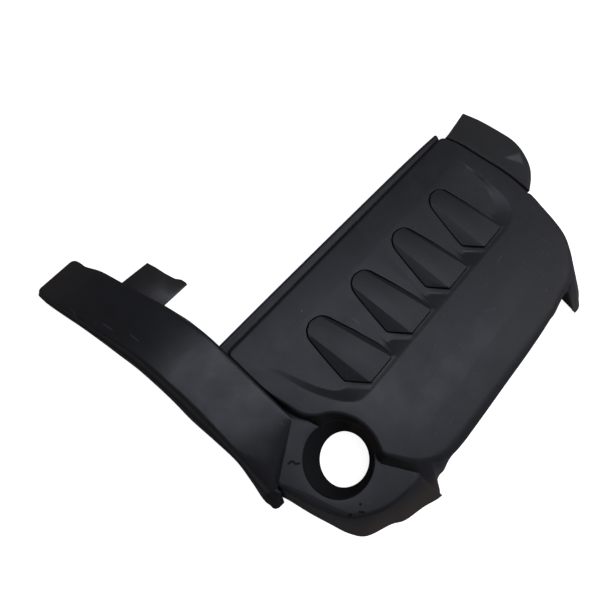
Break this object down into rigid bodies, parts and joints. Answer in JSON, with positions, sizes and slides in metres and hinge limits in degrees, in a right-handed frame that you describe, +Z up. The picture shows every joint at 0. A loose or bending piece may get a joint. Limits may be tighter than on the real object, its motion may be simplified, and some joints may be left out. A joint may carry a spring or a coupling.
{
  "type": "engine cover",
  "caption": "Moulded engine cover with a sunken pan of inset panels, a funnel around the oil filler opening, a bent channel cover along one end and a short end extension.",
  "frame": {"origin": "on the axis of the oil filler opening, at the middle of its straight land", "axes": "+Z up along the filler opening's axis, +X along the row of inset panels, +Y towards the lip and the channel cover's far end"},
  "size_m": [0.5708, 0.4896, 0.066],
  "materials": {
    "cover_plastic": "fine grained satin moulding",
    "panel_plastic": "fine grained satin moulding",
    "channel_plastic": "fine grained satin moulding",
    "extension_plastic": "fine grained satin moulding",
    "grommet_rubber": "matt moulded rubber"
  },
  "bodies": {
    "root": {"main_cover": "cover_plastic", "inset_panel_1": "panel_plastic", "inset_panel_2": "panel_plastic", "inset_panel_3": "panel_plastic", "inset_panel_4": "panel_plastic", "arm_cover": "channel_plastic", "end_extension": "extension_plastic", "grommet_1": "grommet_rubber", "grommet_2": "grommet_rubber", "grommet_3": "grommet_rubber", "grommet_4": "grommet_rubber"}
  },
  "joints": []
}
